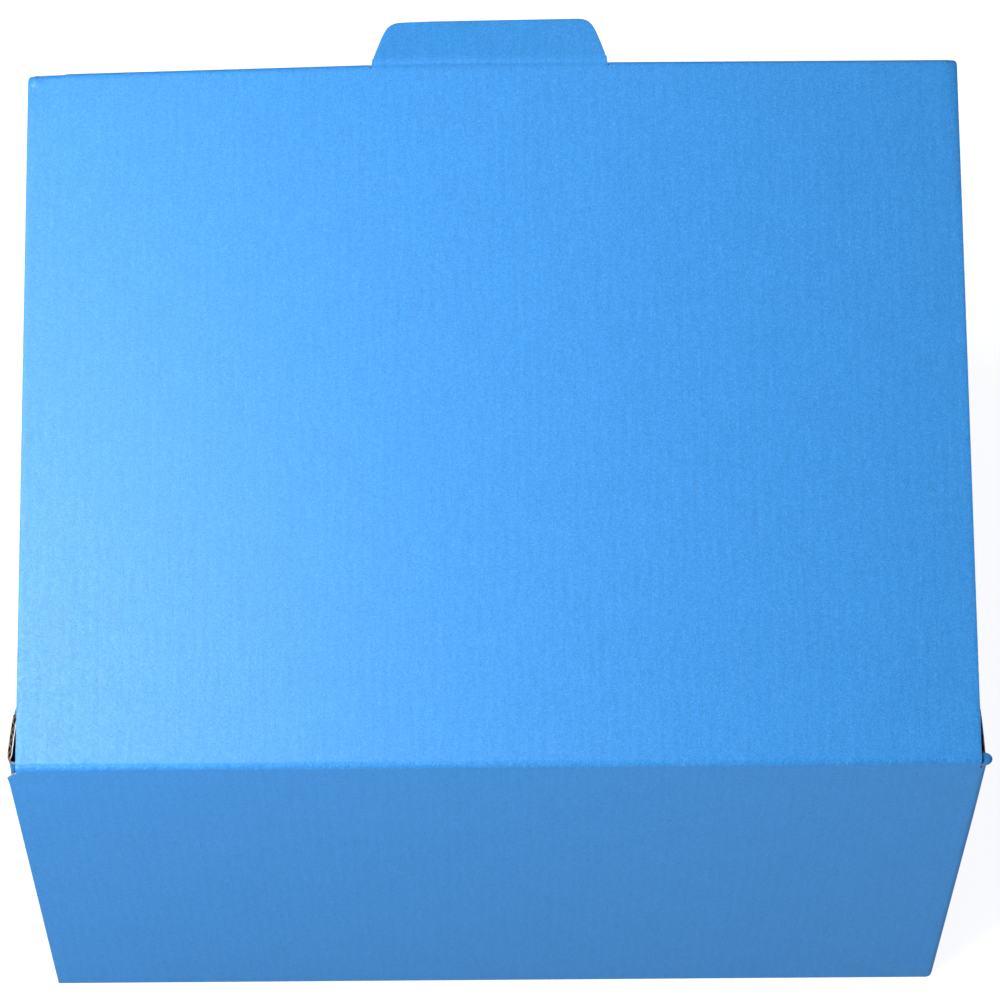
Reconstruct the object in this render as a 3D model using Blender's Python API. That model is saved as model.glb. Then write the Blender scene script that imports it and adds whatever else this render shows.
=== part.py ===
"""Tuck-top carton in printed micro-flute board, closed, standing on its glued auto-lock bottom.

The lid is creased along the top of the hinge wall (-Y side). Its tuck flap hangs inside the front wall
(+Y side), and the pull tab, cut out of that flap, stays in the plane of the lid.
Metres, +Z up. The origin is on the floor under the centre of the bounding box.
"""
import math

import bmesh
import bpy
from mathutils import Matrix, Vector

# Board
BOARD = 0.0016               # thickness of the corrugated board
GAP = 0.0003                 # clearance between neighbouring panels
CREASE_GAP = 0.0004          # crushed strip between a fold's round nose and the next panel

# Tube
WALL_WIDTH = 0.2675          # across the hinge wall, outer faces
HEIGHT = 0.222               # floor to the lid's outer face
SIDE_LEAN = 0.0019           # how far the side walls lean in at their top
LEAN_HEIGHT = 0.070          # height over which they lean
EAR_LENGTH = 0.0110          # stretch of raw wall edge between hinge corner and dust flap
EAR_FLARE = 0.0014           # how far the wall's free corner stands out past the hinge wall
EAR_DEPTH = 0.014            # how far down the flared corner runs
CORNER_CLIP = 0.0045         # corner cut off the hinge wall beside the lid's slit
GLUE_FLAP_WIDTH = 0.030
GLUE_FLAP_SLANT = 0.012
GLUE_FLAP_FOOT = 0.009       # how far its lower end stays above the floor
GLUE_FLAP_TOP = 0.024        # how far its upper end stays below the lid's outer face

# Lid, tuck flap and pull tab
LID_INSET = 0.00175          # from the hinge wall's end to the lid's side edge
LID_LENGTH = 0.210           # hinge wall's outer face to the lid's far fold
FRONT_DROP = 0.0046          # how far the front wall's edge lies under the lid's outer face
TUCK_LENGTH = 0.033
TUCK_LEAN = math.radians(10)
TUCK_SIDE_GAP = 0.0006       # between the tuck flap's side edges and the side walls
TUCK_CORNER = 0.014          # radius of the tuck flap's free corners
TAB_BASE = 0.0672
TAB_TIP = 0.0545
TAB_REACH = 0.0146           # past the lid's far fold
TAB_OFFSET = -0.0009         # the tab sits a little left of the middle
TAB_CORNER = 0.0042
TAB_CUT = 0.0005             # width of the cut between tab and tuck flap

# Dust flaps
DUST_LENGTH = 0.090
DUST_TAPER = 0.34            # rise of the hinge-side edge per unit of length
DUST_FRONT_INSET = 0.010     # between the lid's far crease and the flap's front edge
DUST_FRONT_TAPER = 0.10
DUST_CORNER = 0.010

# Auto-lock bottom
MINOR_LENGTH = 0.098
MINOR_INSET = 0.003
MAJOR_INSET = 0.0025
HOOK_REACH = 0.015           # how far each major flap's hook passes the middle
HOOK_WIDTH = 0.016           # width of the sloping edge between hook and shoulder

ARC_STEPS = 6

# Places that follow from the sizes
Y_BACK = -(LID_LENGTH + TAB_REACH) / 2
HINGE_Y = Y_BACK + BOARD / 2
HINGE_Z = HEIGHT - BOARD / 2
TUCK_Y = Y_BACK + LID_LENGTH - BOARD / 2
FRONT_TOP = HEIGHT - FRONT_DROP
TUCK_DEPTH_AT_WALL = HINGE_Z - FRONT_TOP
TUCK_FACE_AT_WALL = BOARD / 2 / math.cos(TUCK_LEAN) - TUCK_DEPTH_AT_WALL * math.tan(TUCK_LEAN)
FRONT_INNER_Y = TUCK_Y + TUCK_FACE_AT_WALL + GAP
Y_FRONT = FRONT_INNER_Y + BOARD
NOSE_CLEAR = BOARD / 2 + CREASE_GAP
HINGE_WALL_TOP = HINGE_Z - NOSE_CLEAR
DUST_Z = HEIGHT - BOARD - GAP - BOARD / 2
SIDE_TOP = DUST_Z - NOSE_CLEAR
EAR_TOP = HEIGHT - BOARD - GAP
SIDE_X = WALL_WIDTH / 2
LID_WIDTH = WALL_WIDTH - 2 * LID_INSET
TUCK_HALF_WIDTH = SIDE_X - SIDE_LEAN - BOARD - TUCK_SIDE_GAP
DUST_X = SIDE_X - SIDE_LEAN - BOARD / 2
DUST_START_Y = Y_BACK + EAR_LENGTH + GAP
DUST_END_Y = TUCK_Y - DUST_FRONT_INSET
INNER_BACK_Y = Y_BACK + BOARD + GAP
INNER_FRONT_Y = FRONT_INNER_Y - GAP
MID_Y = (Y_BACK + Y_FRONT) / 2
INNER_X = SIDE_X - BOARD - GAP

COLOURS = {
    "printed_board": ((0.064, 0.381, 0.905), 0.62),
    "dark_lined_board": ((0.060, 0.070, 0.100), 0.75),
}


def clear_scene():
    for item in list(bpy.data.objects):
        bpy.data.objects.remove(item, do_unlink=True)


def board_material(slot):
    """The board's Principled material for one slot, made once."""
    found = bpy.data.materials.get(slot)
    if found:
        return found
    colour, roughness = COLOURS[slot]
    material = bpy.data.materials.new(slot)
    material.use_nodes = True
    shader = material.node_tree.nodes["Principled BSDF"]
    shader.inputs["Base Color"].default_value = (*colour, 1.0)
    shader.inputs["Roughness"].default_value = roughness
    shader.inputs["Metallic"].default_value = 0.0
    return material


def add_object(name, mesh_data, slot, parent=None, origin=(0, 0, 0)):
    """Link a bmesh as a named object with its origin on the given point."""
    mesh = bpy.data.meshes.new(name)
    bmesh.ops.translate(mesh_data, verts=mesh_data.verts, vec=-Vector(origin))
    bmesh.ops.recalc_face_normals(mesh_data, faces=mesh_data.faces)
    mesh_data.to_mesh(mesh)
    mesh_data.free()
    mesh.materials.append(board_material(slot))
    item = bpy.data.objects.new(name, mesh)
    bpy.context.collection.objects.link(item)
    item.location = origin
    if parent:
        item.parent = parent
        item.matrix_parent_inverse = parent.matrix_world.inverted()
    return item


def axis_empty(name, location, parent=None):
    """An empty on a crease, which the panels that fold there hang from."""
    empty = bpy.data.objects.new(name, None)
    empty.empty_display_size = 0.02
    bpy.context.collection.objects.link(empty)
    empty.location = location
    bpy.context.view_layer.update()
    if parent:
        empty.parent = parent
        empty.matrix_parent_inverse = parent.matrix_world.inverted()
        bpy.context.view_layer.update()
    return empty


def rounded(points, radii):
    """The outline with each corner of a positive radius replaced by an arc."""
    outline = []
    count = len(points)
    for i, (point, radius) in enumerate(zip(points, radii)):
        here = Vector(point)
        if radius <= 0:
            outline.append(here)
            continue
        back = (Vector(points[i - 1]) - here).normalized()
        ahead = (Vector(points[(i + 1) % count]) - here).normalized()
        half = back.angle(ahead) / 2
        reach = radius / math.tan(half)
        centre = here + (back + ahead).normalized() * radius / math.sin(half)
        start = here + back * reach - centre
        turn = start.angle_signed(here + ahead * reach - centre)
        for step in range(ARC_STEPS + 1):
            outline.append(centre + Matrix.Rotation(-turn * step / ARC_STEPS, 2) @ start)
    return outline


def slab(outline, low, high, place):
    """A closed slab: the outline between two levels, set in space by place(u, v, w)."""
    shape = bmesh.new()
    bottom = [shape.verts.new(place(p[0], p[1], low)) for p in outline]
    top = [shape.verts.new(place(p[0], p[1], high)) for p in outline]
    shape.faces.new(bottom[::-1])
    shape.faces.new(top)
    for i in range(len(outline)):
        j = (i + 1) % len(outline)
        shape.faces.new((bottom[i], bottom[j], top[j], top[i]))
    return shape


def flat_on_xy(u, v, w):
    return (u, v, w)


def flat_on_xz(u, v, w):
    return (u, w, v)


def nose(centre_u, centre_v, start_deg, end_deg):
    """Half of a round board edge about a crease, as outline points."""
    points = []
    for step in range(ARC_STEPS + 1):
        angle = math.radians(start_deg + (end_deg - start_deg) * step / ARC_STEPS)
        points.append((centre_u + BOARD / 2 * math.cos(angle), centre_v + BOARD / 2 * math.sin(angle)))
    return points


def side_lean(z):
    """How far a side wall leans in at this height."""
    up = max(0.0, (z - (SIDE_TOP - LEAN_HEIGHT)) / LEAN_HEIGHT)
    return SIDE_LEAN * min(up, 1.0) ** 2


def ear_flare(y, z):
    """How far the free corner beside the hinge stands out, over the lean."""
    along = max(0.0, 1 - (y - Y_BACK) / (EAR_LENGTH + LEAN_HEIGHT / 8))
    up = max(0.0, 1 - (EAR_TOP - z) / EAR_DEPTH)
    return (side_lean(z) + EAR_FLARE * up ** 2) * math.sqrt(along)


def side_wall(name, side):
    """One side wall: a sheet that leans in under the lid and flares at its free hinge corner."""
    ear_rows = 4
    far_columns = 6
    near = Y_BACK + GAP
    columns = [near, Y_BACK + EAR_LENGTH * 0.2, Y_BACK + EAR_LENGTH * 0.45, Y_BACK + EAR_LENGTH * 0.72]
    columns += [Y_BACK + EAR_LENGTH - BOARD, Y_BACK + EAR_LENGTH - GAP]
    start = columns[-1]
    columns += [start + (INNER_FRONT_Y - start) * (i / far_columns) ** 1.6 for i in range(1, far_columns + 1)]
    rows = [0.0, SIDE_TOP - LEAN_HEIGHT]
    rows += [SIDE_TOP - LEAN_HEIGHT * (1 - i / 4) for i in range(1, 3)]
    clip_level = EAR_TOP - CORNER_CLIP
    rows += [EAR_TOP - EAR_DEPTH, clip_level - BOARD, clip_level]
    rows += [clip_level + (EAR_TOP - clip_level) * i / ear_rows for i in range(1, ear_rows + 1)]
    shape = bmesh.new()
    sheets = []
    for inset in (0.0, BOARD):
        sheet = []
        for row, level in enumerate(rows):
            line = []
            for column, y in enumerate(columns):
                z = level
                if level > clip_level and y > Y_BACK + EAR_LENGTH - BOARD * 1.01:
                    z = clip_level + (SIDE_TOP - clip_level) * (level - clip_level) / (EAR_TOP - clip_level)
                if level < clip_level and column < 2:
                    y = INNER_BACK_Y + (y - near) * 0.3
                x = SIDE_X - side_lean(z) + ear_flare(y, z) - inset
                line.append(shape.verts.new((side * x, y, z)))
            sheet.append(line)
        sheets.append(sheet)
    outer, inner = sheets
    last_row, last_column = len(rows) - 1, len(columns) - 1
    for i in range(last_row):
        for j in range(last_column):
            for sheet in sheets:
                shape.faces.new((sheet[i][j], sheet[i][j + 1], sheet[i + 1][j + 1], sheet[i + 1][j]))
    for i in range(last_row):
        for j in (0, last_column):
            shape.faces.new((outer[i][j], outer[i + 1][j], inner[i + 1][j], inner[i][j]))
    for j in range(last_column):
        for i in (0, last_row):
            shape.faces.new((outer[i][j], outer[i][j + 1], inner[i][j + 1], inner[i][j]))
    return add_object(name, shape, "printed_board")


def hinge_wall():
    """The wall that carries the lid, with its top corners cut off beside the lid's slits."""
    low_clip = EAR_TOP - CORNER_CLIP - BOARD - GAP
    inner = SIDE_X - CORNER_CLIP
    outline = [(-SIDE_X, 0), (SIDE_X, 0), (SIDE_X, low_clip - BOARD), (inner, low_clip)]
    outline += [(inner, HINGE_WALL_TOP), (-inner, HINGE_WALL_TOP), (-inner, low_clip), (-SIDE_X, low_clip - BOARD)]
    add_object("hinge_wall", slab(outline, Y_BACK, Y_BACK + BOARD, flat_on_xz), "printed_board")


def front_wall():
    """The wall that the tuck flap goes behind; its top corners follow the leaning sides."""
    steps = 6
    levels = [SIDE_TOP - LEAN_HEIGHT * (1 - i / steps) for i in range(steps)] + [FRONT_TOP]
    right = [(SIDE_X - side_lean(z), z) for z in levels]
    left = [(-x, z) for x, z in reversed(right)]
    outline = [(-SIDE_X, 0), (SIDE_X, 0)] + right + left
    add_object("front_wall", slab(outline, FRONT_INNER_Y, Y_FRONT, flat_on_xz), "printed_board")


def glue_flap():
    """The manufacturer's joint: a flap of the left wall, glued inside the hinge wall."""
    outer = -INNER_X
    inner = outer + GLUE_FLAP_WIDTH
    top = HEIGHT - GLUE_FLAP_TOP
    outline = [(outer, GLUE_FLAP_FOOT), (inner, GLUE_FLAP_FOOT + GLUE_FLAP_SLANT)]
    outline += [(inner, top - GLUE_FLAP_SLANT), (outer, top)]
    add_object("glue_flap", slab(outline, INNER_BACK_Y, INNER_BACK_Y + BOARD, flat_on_xz), "dark_lined_board")


def lid_panel(crease):
    """The lid, with a round nose on its hinge crease and on its far fold."""
    section = nose(HINGE_Y, HINGE_Z, 90, 270) + nose(TUCK_Y, HINGE_Z, -90, 90)

    def across(u, v, w):
        return (w, u, v)

    shape = slab(section, -LID_WIDTH / 2, LID_WIDTH / 2, across)
    add_object("lid_panel", shape, "printed_board", crease, crease.location)


def tab_outline(grow):
    """The pull tab in (x, distance from its crease), grown all round by the width of a cut."""
    base = TAB_BASE / 2 + grow
    tip = TAB_TIP / 2 + grow
    reach = BOARD / 2 + TAB_REACH + grow
    corners = [(-base, 0), (base, 0), (tip, reach), (-tip, reach)]
    return [(x + TAB_OFFSET, d) for x, d in corners]


def pull_tab(crease):
    """The pull tab, in the plane of the lid."""
    near = NOSE_CLEAR
    left_base, right_base, right_tip, left_tip = tab_outline(0)
    outline = rounded(
        [(left_base[0], near), (right_base[0], near), right_tip, left_tip],
        [0, 0, TAB_CORNER, TAB_CORNER],
    )

    def beside_lid(u, v, w):
        return (u, TUCK_Y + v, HINGE_Z + w)

    shape = slab(outline, -BOARD / 2, BOARD / 2, beside_lid)
    add_object("pull_tab", shape, "printed_board", crease, crease.location)


def tuck_flap(crease):
    """The tuck flap, leaning in behind the front wall, open where the pull tab was cut from it."""
    half = TUCK_HALF_WIDTH
    left_base, right_base, right_tip, left_tip = tab_outline(TAB_CUT)
    outline = rounded(
        [(-half, NOSE_CLEAR), (left_base[0], NOSE_CLEAR), left_tip, right_tip, (right_base[0], NOSE_CLEAR)]
        + [(half, NOSE_CLEAR), (half, TUCK_LENGTH), (-half, TUCK_LENGTH)],
        [0, 0, TAB_CORNER, TAB_CORNER, 0, 0, TUCK_CORNER, TUCK_CORNER],
    )
    down = Vector((0, -math.sin(TUCK_LEAN), -math.cos(TUCK_LEAN)))
    outward = Vector((0, math.cos(TUCK_LEAN), -math.sin(TUCK_LEAN)))
    start = Vector((0, TUCK_Y, HINGE_Z))

    def hanging(u, v, w):
        return start + Vector((u, 0, 0)) + down * v + outward * w

    shape = slab(outline, -BOARD / 2, BOARD / 2, hanging)
    add_object("tuck_flap", shape, "printed_board", crease, crease.location)


def dust_flap(name, side, crease):
    """One dust flap, lying flat under the lid: its round nose, and its tapered blade."""
    outline = rounded(
        [(0, DUST_START_Y), (DUST_LENGTH, DUST_START_Y + DUST_TAPER * DUST_LENGTH)]
        + [(DUST_LENGTH, DUST_END_Y - DUST_FRONT_TAPER * DUST_LENGTH), (0, DUST_END_Y)],
        [0, DUST_CORNER, DUST_CORNER, 0],
    )

    def under_lid(u, v, w):
        return (side * (DUST_X - u), v, DUST_Z + w)

    shape = slab(outline, -BOARD / 2, BOARD / 2, under_lid)
    section = nose(0, 0, 90, 270)
    round_start = [shape.verts.new(under_lid(u, DUST_START_Y, w)) for u, w in section]
    round_end = [shape.verts.new(under_lid(u, DUST_END_Y, w)) for u, w in section]
    end_face = min(shape.faces, key=lambda face: sum(abs(abs(v.co.x) - DUST_X) for v in face.verts))
    bmesh.ops.delete(shape, geom=[end_face], context="FACES_ONLY")
    for i in range(len(section) - 1):
        shape.faces.new((round_start[i], round_start[i + 1], round_end[i + 1], round_end[i]))
    shape.faces.new(round_start)
    shape.faces.new(round_end)
    bmesh.ops.remove_doubles(shape, verts=shape.verts, dist=1e-7)
    add_object(name, shape, "printed_board", crease, crease.location)


def minor_bottom(side, hinge_side):
    """One side bottom flap and the glue corner beyond its diagonal crease.

    hinge_side is -1 where the glue corner is stuck to the rear major flap, and 1 where it is stuck to
    the front one.
    """
    word = "left" if side < 0 else "right"
    edge = INNER_X
    near = INNER_BACK_Y + MINOR_INSET if hinge_side < 0 else INNER_FRONT_Y - MINOR_INSET
    far = INNER_FRONT_Y - MINOR_INSET if hinge_side < 0 else INNER_BACK_Y + MINOR_INSET
    step = -hinge_side
    tip = edge - MINOR_LENGTH
    half_gap = GAP / math.sqrt(2)
    blade = [(edge, near + step * half_gap * 2), (tip, near + step * (MINOR_LENGTH + half_gap * 2))]
    blade += [(tip, far - step * MINOR_LENGTH * 0.35), (edge, far)]
    corner = [(edge - GAP, near), (tip, near + step * (MINOR_LENGTH - GAP)), (tip, near + step * MINOR_LENGTH * 0.4)]
    corner += [(tip + MINOR_LENGTH * 0.45, near)]
    for name, outline in (("bottom_side_flap_" + word, blade), ("bottom_glue_corner_" + word, corner)):
        placed = [(side * x, y) for x, y in outline]
        add_object(name, slab(placed, 0.0, BOARD, flat_on_xy), "printed_board")


def major_bottom(name, back):
    """One main bottom flap. Its hooked free edge meets the other flap's along the middle."""
    edge = INNER_X - MAJOR_INSET
    turn = 1 if back else -1
    gap = GAP / 2
    start = INNER_BACK_Y if back else INNER_FRONT_Y
    reach = HOOK_REACH
    outline = [(-edge, start), (edge, start), (edge, MID_Y - reach - turn * gap)]
    outline += [(HOOK_WIDTH / 2, MID_Y - reach - turn * gap), (-HOOK_WIDTH / 2, MID_Y + reach - turn * gap)]
    outline += [(-edge, MID_Y + reach - turn * gap)]
    level = BOARD + GAP
    add_object(name, slab(outline, level, level + BOARD, flat_on_xy), "dark_lined_board")


def build():
    clear_scene()
    hinge_wall()
    front_wall()
    side_wall("left_wall", -1)
    side_wall("right_wall", 1)
    glue_flap()
    lid_crease = axis_empty("lid_crease_axis", (0, HINGE_Y, HINGE_Z))
    lid_panel(lid_crease)
    tuck_crease = axis_empty("tuck_crease_axis", (0, TUCK_Y, HINGE_Z), lid_crease)
    tuck_flap(tuck_crease)
    tab_crease = axis_empty("tab_crease_axis", (TAB_OFFSET, TUCK_Y, HINGE_Z), lid_crease)
    pull_tab(tab_crease)
    dust_mid = (DUST_START_Y + DUST_END_Y) / 2
    for side, word in ((-1, "left"), (1, "right")):
        crease = axis_empty(word + "_dust_crease_axis", (side * DUST_X, dust_mid, DUST_Z))
        dust_flap("dust_flap_" + word, side, crease)
    minor_bottom(-1, -1)
    minor_bottom(1, 1)
    major_bottom("bottom_main_flap_rear", True)
    major_bottom("bottom_main_flap_front", False)


build()
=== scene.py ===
import math

import bpy
import numpy as np
from mathutils import Matrix, Vector


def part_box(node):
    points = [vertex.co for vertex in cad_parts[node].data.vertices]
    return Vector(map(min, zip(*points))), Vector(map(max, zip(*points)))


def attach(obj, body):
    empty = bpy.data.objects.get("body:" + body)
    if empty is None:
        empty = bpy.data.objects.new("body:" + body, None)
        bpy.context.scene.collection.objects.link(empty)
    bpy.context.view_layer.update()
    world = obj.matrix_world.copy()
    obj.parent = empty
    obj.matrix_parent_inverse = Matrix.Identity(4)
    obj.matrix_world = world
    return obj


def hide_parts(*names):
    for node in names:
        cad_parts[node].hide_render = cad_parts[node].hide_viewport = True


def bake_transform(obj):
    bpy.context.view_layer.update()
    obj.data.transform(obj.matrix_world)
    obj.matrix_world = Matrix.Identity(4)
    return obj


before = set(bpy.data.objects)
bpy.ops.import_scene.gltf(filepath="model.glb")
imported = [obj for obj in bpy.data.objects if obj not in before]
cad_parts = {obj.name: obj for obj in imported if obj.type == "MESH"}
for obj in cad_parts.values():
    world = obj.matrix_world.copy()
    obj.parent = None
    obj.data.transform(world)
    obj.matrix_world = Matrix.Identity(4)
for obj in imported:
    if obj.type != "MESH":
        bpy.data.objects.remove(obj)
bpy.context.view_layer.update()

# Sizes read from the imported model, in metres
LID_LOW, LID_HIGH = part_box("lid_panel")
WALL_LOW, WALL_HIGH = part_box("hinge_wall")
FRONT_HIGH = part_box("front_wall")[1]
DUST_LOW, DUST_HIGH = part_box("dust_flap_right")
EAR_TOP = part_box("right_wall")[1].z
BOARD = LID_HIGH.z - LID_LOW.z
HALF = BOARD / 2
LID_HALF = LID_HIGH.x
LID_Z = LID_HIGH.z - HALF
HINGE_Y = LID_LOW.y + HALF
TUCK_Y = LID_HIGH.y - HALF
SIDE_X = WALL_HIGH.x
Y_BACK = WALL_LOW.y
Y_FRONT = FRONT_HIGH.y
FRONT_TOP = FRONT_HIGH.z
DUST_Z = DUST_HIGH.z - HALF
SIDE_LEAN = SIDE_X - DUST_HIGH.x
TUCK_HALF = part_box("tuck_flap")[1].x
TAB_LOW, TAB_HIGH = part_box("pull_tab")
GLUE_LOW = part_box("glue_flap")[0]

# The corrugated board
LINER = 0.00028
MEDIUM = 0.00020
FLUTE = 0.0033               # pitch of the flutes
LINER_STEPS = 4              # mesh columns per flute in the liners
MEDIUM_STEPS = 8
WASHBOARD = 4.0e-6           # how far the flutes print through the outer liner
CRUSH = 0.15                 # share of the thickness lost at a die-cut edge
CRUSH_REACH = 0.0009
CREASE_HALF = 0.0024         # half the width of the strip that bends at a crease
CREASE_RADIUS = 0.0009       # of the board's middle line at a fold
CORNER_RADIUS = 0.0019       # outer radius of the tube's vertical folds
SCORE = 0.22                 # share of the thickness lost along a crease
SCORE_WIDTH = 0.0009
EDGE_WEAR = 0.30             # wear of the print at a die-cut edge
EDGE_WEAR_REACH = 0.0005
CREASE_WEAR_WIDTH = 0.0006

# How this carton has settled
TUBE_SHIFT = -0.0007         # the tube sits a little left of the lid
LEAN_HEIGHT = 0.070
EAR_REACH = 0.01975          # over this length the wall's top edge comes out again towards the hinge corner
EAR_DEPTH = {-1: 0.014, 1: 0.006}
EAR_OUT = {-1: 0.1351, 1: SIDE_X}    # how far out the walls reach at the hinge corners
EAR_DROP = {-1: 0.0, 1: 0.0030}      # how far the raw edge there sits below the blank's top
EAR_END = 0.0060             # the ear's raw edge runs this far past the dust flap's root
RACK = 0.0029                # the far left corner leans in towards the hinge by this much
RACK_START_X = -0.018
RACK_Y = (-0.03, 0.092)      # between these it grows from none to all
RACK_LOW_Z = 0.08            # and from this height up
RACK_GROWTH = 1.6
CORNER_STEP = 0.0003         # a short further step in at that corner
STEP_X = (0.1207, 0.1225)
STEP_Y = (0.085, 0.094)
STEP_LOW_Z = 0.20
LEAN_MARGIN = 0.0004         # the side walls' lean is full this far under the dust flaps' inner faces
FADE_START = 1.3 * BOARD     # further in than this, the dust flaps lean on where the wall comes out again
FADE_LENGTH = 0.006
FLARE_POWER = 30             # keeps the flare to the tube's very corner

PRINT, EDGE, KRAFT, DARK = range(4)


def ramp(value, low, high):
    """0 below low, 1 above high, straight between."""
    return np.clip((value - low) / (high - low), 0.0, 1.0)


def ease(value, low, high):
    t = ramp(value, low, high)
    return t * t * (3 - 2 * t)


def rack(points):
    """The far left corner of the carton stands a little towards the hinge."""
    x, y, z = points[..., 0], points[..., 1], points[..., 2]
    share = ramp(-x, -RACK_START_X, LID_HALF) * ease(y, *RACK_Y) * ramp(z, RACK_LOW_Z, LID_Z) ** RACK_GROWTH
    step = CORNER_STEP * ramp(-x, *STEP_X) * ramp(y, *STEP_Y) * ramp(z, STEP_LOW_Z, LID_Z)
    points[..., 1] -= RACK * share + step
    return points


def tube_shift(x, z):
    """How far the tube stands to the left: all along its left side, and only low down on its right."""
    return TUBE_SHIFT * (1 - ease(x, -SIDE_X, SIDE_X) * ramp(z, -0.05, 0.17))


def settle(points, kind):
    """Moves points of the tube from the square blank to where its walls really stand.

    kind is "side" for the side walls and what folds from them, "front", "hinge" or "floor".
    """
    x, y, z = points[..., 0].copy(), points[..., 1], points[..., 2]
    side = np.where(x < 0, -1.0, 1.0)
    size = np.abs(x)
    side_top = DUST_Z - HALF - LEAN_MARGIN
    up = ramp(z, side_top - LEAN_HEIGHT, side_top) ** 2
    shift = tube_shift(x, z)
    lean = SIDE_LEAN + side * shift
    near = np.sqrt(np.clip(1 - (y - Y_BACK) / EAR_REACH, 0, 1))
    if kind == "side":
        inward = np.clip(SIDE_X - FADE_START - size, 0, None)
        lean = lean * (1 - near * np.exp(-inward / FADE_LENGTH))
    elif kind == "front":
        lean = lean * np.clip(size / (SIDE_X - CORNER_RADIUS), 0, 1)
    else:
        lean = lean * 0
    depth = np.where(x < 0, EAR_DEPTH[-1], EAR_DEPTH[1])
    high = np.clip(1 - (EAR_TOP - z) / depth, 0, 1) ** 2
    out = np.where(x < 0, EAR_OUT[-1], EAR_OUT[1])
    flare = np.clip(out - SIDE_X - side * shift, 0, None) * high * near
    if kind in ("hinge", "side"):
        flare = flare * np.clip(size / SIDE_X, 0, 1.1) ** FLARE_POWER
    else:
        flare = flare * 0
    points[..., 0] = x + shift + side * (flare - lean * up)
    return rack(points)


def track(s, h, legs):
    """A bent board's section: s runs along its middle line and h from it to the outer side.

    legs are (length, 0) for a straight and (angle, radius) for a turn to the inner side. The section
    starts at the origin, along the first axis, with its outer side towards the second.
    """
    position = np.zeros(2)
    heading = 0.0
    begun = 0.0
    u = np.zeros(np.broadcast(s, h).shape)
    v = np.zeros_like(u)
    for number, (size, radius) in enumerate(legs):
        length = size * radius if radius else size
        here = s >= begun - 1e-12 if number else np.ones_like(s, bool)
        along = s - begun
        normal = np.array([-math.sin(heading), math.cos(heading)])
        if radius:
            angle = heading - np.clip(along / radius, 0, size)
            centre = position - normal * radius
            u = np.where(here, centre[0] - (radius + h) * np.sin(angle), u)
            v = np.where(here, centre[1] + (radius + h) * np.cos(angle), v)
            heading -= size
            normal = np.array([-math.sin(heading), math.cos(heading)])
            position = centre + normal * radius
        else:
            direction = np.array([math.cos(heading), math.sin(heading)])
            u = np.where(here, position[0] + along * direction[0] + h * normal[0], u)
            v = np.where(here, position[1] + along * direction[1] + h * normal[1], v)
            position = position + direction * length
        begun += length
    return u, v


def in_space(origin, across, forward, outward):
    """place(t, s, h) for a flat board: t, s and h along three directions from the origin."""
    axes = [np.array(v, float) for v in (across, forward, outward)]
    origin = np.array(origin, float)

    def place(t, s, h):
        return origin + t[..., None] * axes[0] + s[..., None] * axes[1] + h[..., None] * axes[2]

    return place


def fold_place(axis_point, across, forward, outward, angle):
    """place(t, s, h) for the strip along a crease; s is 0 at its start, before the fold."""
    tangent = CREASE_RADIUS * math.tan(angle / 2)
    straight = CREASE_HALF - tangent
    legs = [(straight, 0), (angle, CREASE_RADIUS), (straight, 0)] if angle else [(2 * CREASE_HALF, 0)]
    flat = in_space(Vector(axis_point) - Vector(forward) * CREASE_HALF, across, forward, outward)

    def place(t, s, h):
        u, v = track(s, h, legs)
        return flat(t, u, v)

    return place


def fold_length(angle):
    """Length of a crease strip along the board's middle line."""
    tangent = CREASE_RADIUS * math.tan(angle / 2)
    return 2 * (CREASE_HALF - tangent) + CREASE_RADIUS * angle


def cad_span(node, origin, across, forward):
    """A function of t that gives where the flat CAD node starts and ends along s."""
    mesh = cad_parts[node].data
    points = np.array([v.co for v in mesh.vertices]) - np.array(origin, float)
    t = points @ np.array(across, float)
    s = points @ np.array(forward, float)
    edges = np.array([e.vertices[:] for e in mesh.edges])
    t0, t1, s0, s1 = t[edges[:, 0]], t[edges[:, 1]], s[edges[:, 0]], s[edges[:, 1]]
    long_enough = np.abs(t1 - t0) > 1e-7
    t0, t1, s0, s1 = (a[long_enough] for a in (t0, t1, s0, s1))

    def span(columns):
        inside = np.clip(columns, t.min() + 1e-6, t.max() - 1e-6)[:, None]
        share = (inside - t0) / (t1 - t0)
        crossing = (share >= 0) & (share <= 1)
        reached = s0 + (s1 - s0) * share
        low = np.where(crossing, reached, np.inf).min(1)
        high = np.where(crossing, reached, -np.inf).max(1)
        return low, high

    return span, (t.min(), t.max())


def spaced(low, high, step, extra=()):
    """Columns at whole steps between two ends, with closer ones at each end for the crushed edge."""
    inner = np.arange(math.ceil(low / step), math.floor(high / step) + 1) * step
    ends = [low + d for d in (0, 0.0002, 0.0005)] + [high - d for d in (0, 0.0002, 0.0005)]
    found = np.unique(np.round(np.concatenate([inner, ends, np.array(extra, float)]), 7))
    found = found[(found >= low - 1e-9) & (found <= high + 1e-9)]
    keep = np.concatenate([[True], np.diff(found) > 4e-5])
    found = found[keep]
    found[-1] = high
    return found


def row_shares(length, count, fine=(0.0, 0.0002, 0.0005, 0.0009)):
    """Row positions from 0 to 1: evenly spread, and close together at both ends."""
    even = np.linspace(0, 1, count)
    ends = np.array(fine) / length
    return np.unique(np.round(np.concatenate([even, ends, 1 - ends]), 6))


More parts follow.
